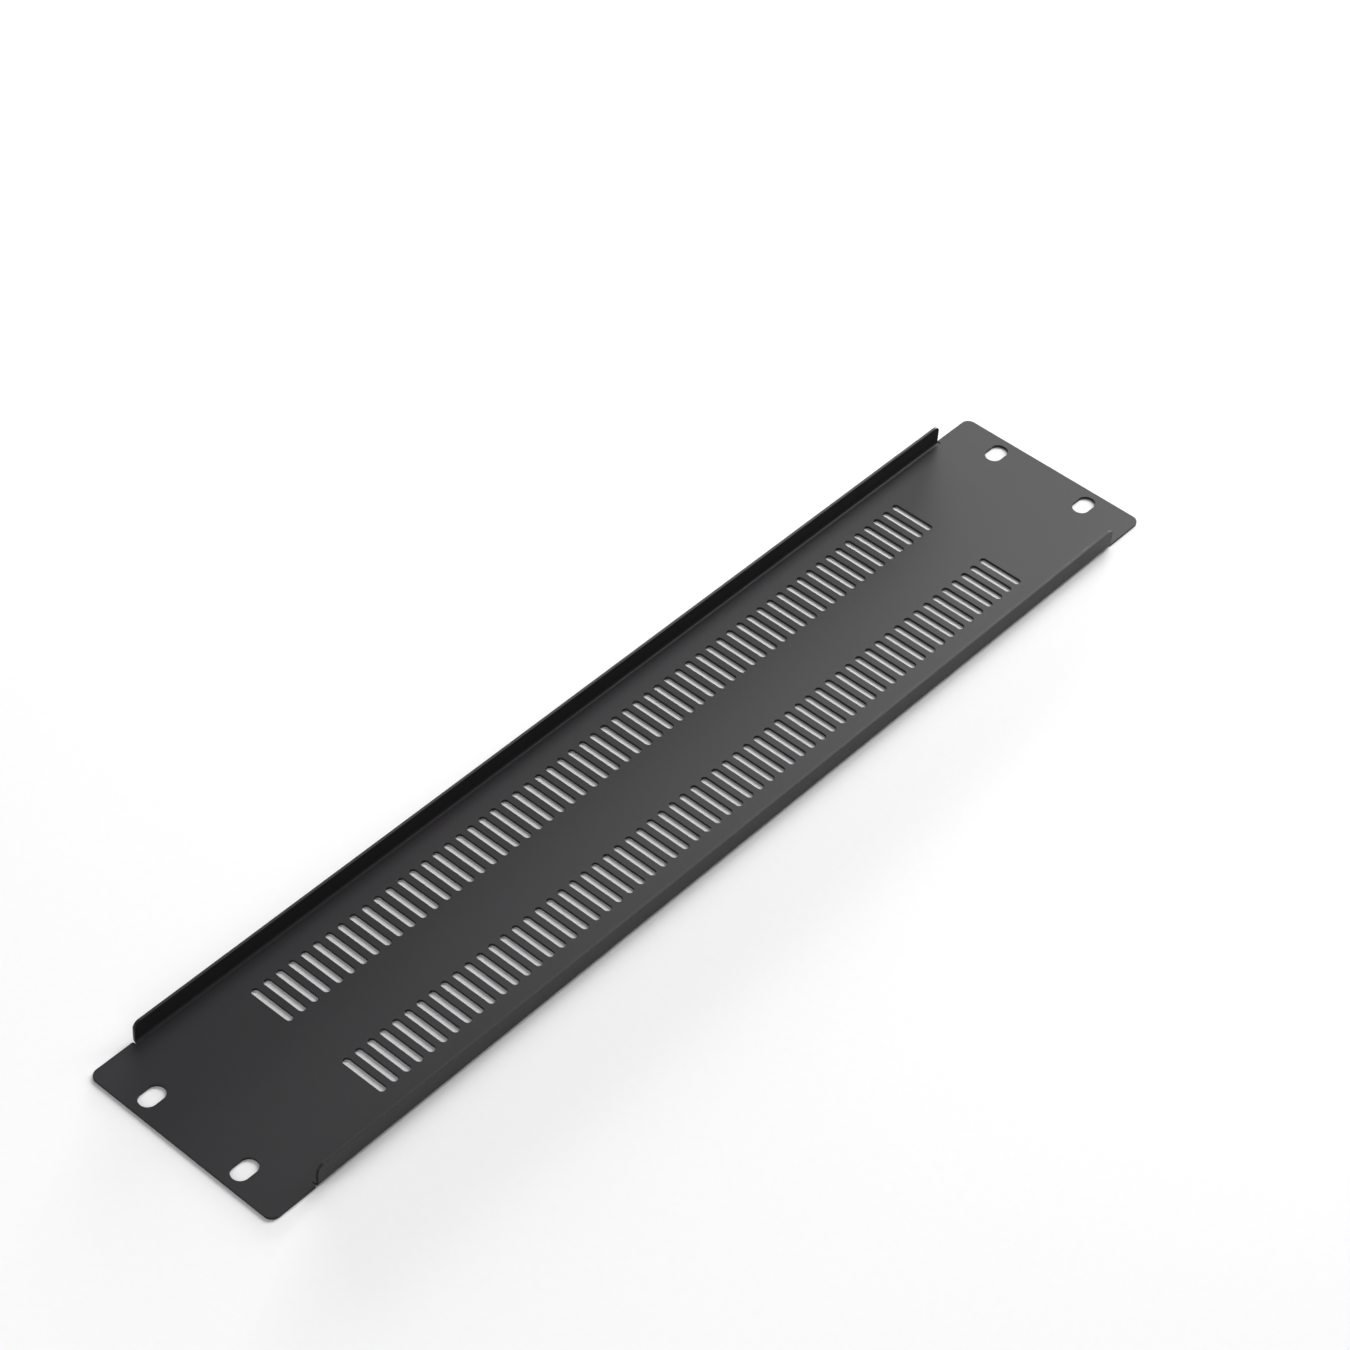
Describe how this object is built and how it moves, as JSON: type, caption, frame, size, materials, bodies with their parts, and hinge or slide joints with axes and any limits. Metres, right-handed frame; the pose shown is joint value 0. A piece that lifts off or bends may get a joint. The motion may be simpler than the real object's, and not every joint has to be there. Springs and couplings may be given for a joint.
{
  "type": "rack blanking panel",
  "caption": "Vented blanking panel for an equipment rack, folded from sheet steel, with slotted ears, two rows of narrow vents and a stiffening flange along each long edge.",
  "frame": {"origin": "middle of the front face, on the surface that the panel lies on, front face down", "axes": "+X along the panel, +Y from its lower to its upper edge, +Z out of its back, the way the flanges point, into the rack"},
  "size_m": [0.4826, 0.0892, 0.01],
  "materials": {
    "powder_coat": "black powder coat with a fine, satin grain"
  },
  "bodies": {
    "root": {"vented_panel": "powder_coat"}
  },
  "joints": []
}
